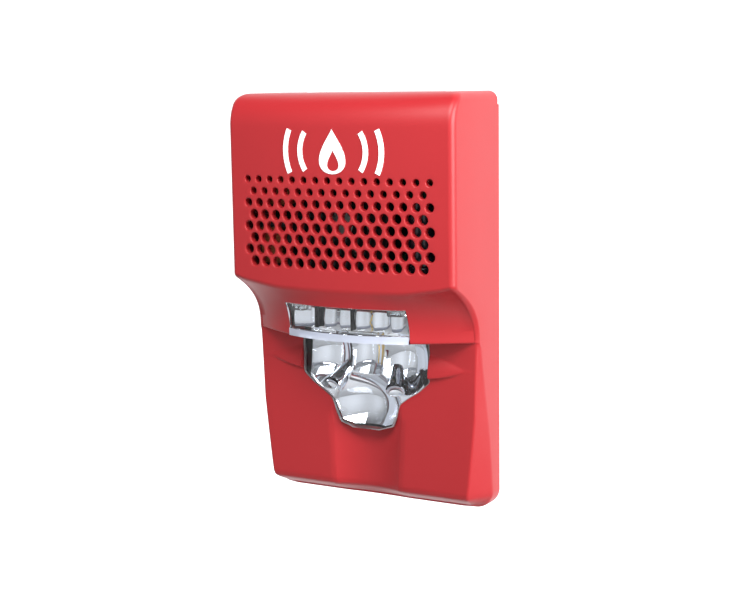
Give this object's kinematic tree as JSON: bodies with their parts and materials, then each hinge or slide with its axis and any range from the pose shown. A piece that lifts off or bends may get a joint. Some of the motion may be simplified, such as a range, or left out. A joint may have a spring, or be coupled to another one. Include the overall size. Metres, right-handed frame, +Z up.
{
  "type": "horn strobe",
  "caption": "Red wall horn strobe: bowed perforated grille above a coved hood with a clear lens and chrome reflector, hinged cover on a one-gang base.",
  "frame": {"origin": "centre of the back face, in the wall plane", "axes": "+Z up, front of the device towards -Y, +X to the right seen from the front"},
  "size_m": [0.0704, 0.0286, 0.1142],
  "materials": {
    "red_plastic": "fine satin texture",
    "base_plastic": "satin",
    "black_plastic": "semi-gloss",
    "board_green": "solder mask",
    "steel": "zinc plated",
    "tin": "tinned",
    "brass": "satin",
    "gold_pin": "plated",
    "piezo_white": "matte",
    "copper": "enamelled wire",
    "ferrite": "matte",
    "sleeve": "shrink sleeve",
    "wire_red": "insulation",
    "jumper_blue": "gloss",
    "reflector_chrome": "mirror bright",
    "tube_glass": "clear",
    "grommet": "silicone",
    "clear_lens": "clear moulded plastic",
    "gasket": "soft seal",
    "white_ink": "printed",
    "knob_white": "gloss",
    "terminal_plastic": "moulded"
  },
  "bodies": {
    "base": {"base_plate": "base_plastic", "main_board": "board_green", "strobe_board": "board_green", "board_screws": "steel", "terminal_block": "terminal_plastic", "terminal_screws": "brass", "terminal_clamps": "steel", "horn_housing": "black_plastic", "horn_cap": "black_plastic", "piezo_disc": "brass", "piezo_ceramic": "piezo_white", "horn_leads": "wire_red", "storage_capacitor": "sleeve", "capacitor_leads": "tin", "transformer_core": "ferrite", "transformer_winding": "copper", "trigger_coil": "copper", "power_inductor": "copper", "controller_chip": "black_plastic", "chip_pins": "tin", "small_resistors": "black_plastic", "tone_jumpers": "jumper_blue", "header_body": "black_plastic", "header_pins": "gold_pin", "reflector": "reflector_chrome", "flash_tube": "tube_glass", "tube_electrodes": "tin", "tube_grommets": "grommet", "trigger_wire": "tin", "selector_body": "black_plastic"},
    "cover": {"front_cover": "red_plastic", "lens": "clear_lens", "lens_gasket": "gasket", "lens_screws": "steel", "setting_window": "clear_lens", "hinge_pins": "steel", "printed_symbol": "white_ink"},
    "latch": {"latch_tab": "base_plastic"},
    "selector": {"selector_knob": "knob_white"}
  },
  "joints": [
    {"name": "cover_hinge", "type": "hinge", "parent": "base", "child": "cover", "pos_m": [0, -0.0032, 0.055], "axis": [-1, 0, 0], "range_deg": [0, 90]},
    {"name": "latch_flex", "type": "hinge", "parent": "base", "child": "latch", "pos_m": [0, -0.0012, -0.0462], "axis": [1, 0, 0], "range_deg": [0, 3.5], "stiffness_Nm_per_rad": 0.05},
    {"name": "selector_slide", "type": "slide", "parent": "base", "child": "selector", "axis": [0, 0, 1], "range_m": [0, 0.006]}
  ]
}
